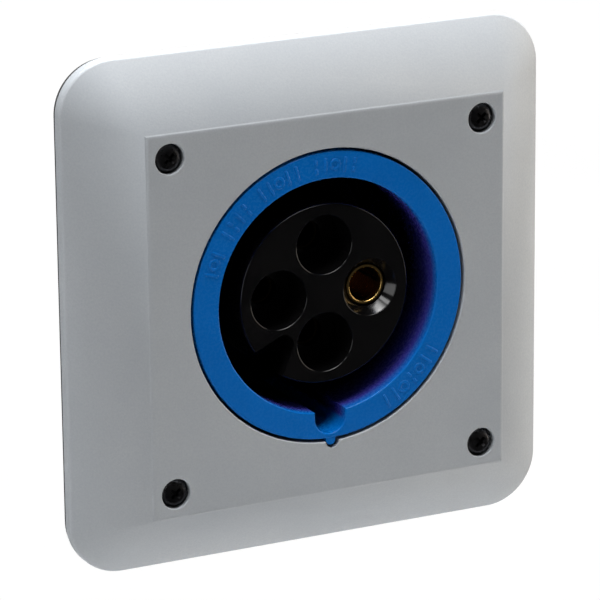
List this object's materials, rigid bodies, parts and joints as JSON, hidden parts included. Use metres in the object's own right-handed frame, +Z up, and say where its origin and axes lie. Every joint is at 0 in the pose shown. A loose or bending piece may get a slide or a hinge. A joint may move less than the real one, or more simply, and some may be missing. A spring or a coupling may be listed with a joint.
{
  "type": "flush-mounted pin-and-sleeve power socket",
  "caption": "Square bevelled grey cover plate with a recessed blue round pin-and-sleeve power socket, keyed at the bottom, with brass contacts in a black carrier.",
  "frame": {"origin": "centre of the cover plate on the wall surface, at the back of the gasket", "axes": "+Z up, -Y out of the wall towards the user, +X to the user's right when facing the plate"},
  "size_m": [0.124, 0.0599, 0.124],
  "materials": {
    "grey_plastic": "fine-textured moulded",
    "blue_plastic": "satin moulded",
    "black_plastic": "gloss moulded",
    "black_rubber": "matte",
    "brass": "machined",
    "spring_steel": "plain",
    "zinc_steel": "zinc plated",
    "black_steel": "black oxide"
  },
  "bodies": {
    "root": {"face_plate": "grey_plastic", "plate_gasket": "black_rubber", "socket_housing": "blue_plastic", "housing_seal": "black_rubber", "contact_cap": "black_plastic", "contact_carrier": "black_plastic", "phase_1_sleeve": "brass", "phase_1_spring": "spring_steel", "phase_1_terminal": "brass", "phase_2_sleeve": "brass", "phase_2_spring": "spring_steel", "phase_2_terminal": "brass", "phase_3_sleeve": "brass", "phase_3_spring": "spring_steel", "phase_3_terminal": "brass", "earth_sleeve": "brass", "earth_spring": "spring_steel", "earth_terminal": "brass", "flange_screw_1": "zinc_steel", "flange_screw_2": "zinc_steel", "flange_screw_3": "zinc_steel", "flange_screw_4": "zinc_steel", "carrier_screw_1": "zinc_steel", "carrier_screw_2": "zinc_steel"},
    "washer_1": {"face_washer_1": "black_rubber"},
    "screw_1": {"face_screw_1": "black_steel"},
    "washer_2": {"face_washer_2": "black_rubber"},
    "screw_2": {"face_screw_2": "black_steel"},
    "washer_3": {"face_washer_3": "black_rubber"},
    "screw_3": {"face_screw_3": "black_steel"},
    "washer_4": {"face_washer_4": "black_rubber"},
    "screw_4": {"face_screw_4": "black_steel"},
    "phase_1_pad": {"phase_1_clamp_pad": "spring_steel"},
    "phase_1_screw": {"phase_1_clamp_screw": "zinc_steel"},
    "phase_2_pad": {"phase_2_clamp_pad": "spring_steel"},
    "phase_2_screw": {"phase_2_clamp_screw": "zinc_steel"},
    "phase_3_pad": {"phase_3_clamp_pad": "spring_steel"},
    "phase_3_screw": {"phase_3_clamp_screw": "zinc_steel"},
    "earth_pad": {"earth_clamp_pad": "spring_steel"},
    "earth_screw": {"earth_clamp_screw": "zinc_steel"}
  },
  "joints": [
    {"name": "face_screw_1_travel", "type": "slide", "parent": "root", "child": "washer_1", "axis": [0, -1, 0], "range_m": [0, 0.0079]},
    {"name": "face_screw_1_turn", "type": "hinge", "parent": "washer_1", "child": "screw_1", "pos_m": [-0.0403, -0.0152, 0.0403], "axis": [0, -1, 0], "range_deg": [0, 3585]},
    {"name": "face_screw_2_travel", "type": "slide", "parent": "root", "child": "washer_2", "axis": [0, -1, 0], "range_m": [0, 0.0079]},
    {"name": "face_screw_2_turn", "type": "hinge", "parent": "washer_2", "child": "screw_2", "pos_m": [0.0403, -0.0152, 0.0403], "axis": [0, -1, 0], "range_deg": [0, 3585]},
    {"name": "face_screw_3_travel", "type": "slide", "parent": "root", "child": "washer_3", "axis": [0, -1, 0], "range_m": [0, 0.0079]},
    {"name": "face_screw_3_turn", "type": "hinge", "parent": "washer_3", "child": "screw_3", "pos_m": [0.0403, -0.0152, -0.0403], "axis": [0, -1, 0], "range_deg": [0, 3585]},
    {"name": "face_screw_4_travel", "type": "slide", "parent": "root", "child": "washer_4", "axis": [0, -1, 0], "range_m": [0, 0.0079]},
    {"name": "face_screw_4_turn", "type": "hinge", "parent": "washer_4", "child": "screw_4", "pos_m": [-0.0403, -0.0152, -0.0403], "axis": [0, -1, 0], "range_deg": [0, 3585]},
    {"name": "phase_1_clamp_travel", "type": "slide", "parent": "root", "child": "phase_1_pad", "axis": [1, 0, 0], "range_m": [0, 0.0034]},
    {"name": "phase_1_clamp_turn", "type": "hinge", "parent": "phase_1_pad", "child": "phase_1_screw", "pos_m": [-0.0164, 0.0368, 0.0021], "axis": [1, 0, 0], "range_deg": [0, 1750]},
    {"name": "phase_2_clamp_travel", "type": "slide", "parent": "root", "child": "phase_2_pad", "axis": [0, 0, -1], "range_m": [0, 0.0034]},
    {"name": "phase_2_clamp_turn", "type": "hinge", "parent": "phase_2_pad", "child": "phase_2_screw", "pos_m": [0, 0.0368, 0.0185], "axis": [0, 0, -1], "range_deg": [0, 1750]},
    {"name": "phase_3_clamp_travel", "type": "slide", "parent": "root", "child": "phase_3_pad", "axis": [0, 0, 1], "range_m": [0, 0.0034]},
    {"name": "phase_3_clamp_turn", "type": "hinge", "parent": "phase_3_pad", "child": "phase_3_screw", "pos_m": [0, 0.0368, -0.0143], "axis": [0, 0, 1], "range_deg": [0, 1750]},
    {"name": "earth_clamp_travel", "type": "slide", "parent": "root", "child": "earth_pad", "axis": [-1, 0, 0], "range_m": [0, 0.0034]},
    {"name": "earth_clamp_turn", "type": "hinge", "parent": "earth_pad", "child": "earth_screw", "pos_m": [0.0164, 0.0368, 0.0021], "axis": [-1, 0, 0], "range_deg": [0, 1750]}
  ],
  "couplings": [
    {"joint": "face_screw_1_turn", "follows": "face_screw_1_travel", "rad_per_m": 7915.8},
    {"joint": "face_screw_2_turn", "follows": "face_screw_2_travel", "rad_per_m": 7915.8},
    {"joint": "face_screw_3_turn", "follows": "face_screw_3_travel", "rad_per_m": 7915.8},
    {"joint": "face_screw_4_turn", "follows": "face_screw_4_travel", "rad_per_m": 7915.8},
    {"joint": "phase_1_clamp_turn", "follows": "phase_1_clamp_travel", "rad_per_m": 8976},
    {"joint": "phase_2_clamp_turn", "follows": "phase_2_clamp_travel", "rad_per_m": 8976},
    {"joint": "phase_3_clamp_turn", "follows": "phase_3_clamp_travel", "rad_per_m": 8976},
    {"joint": "earth_clamp_turn", "follows": "earth_clamp_travel", "rad_per_m": 8976}
  ]
}
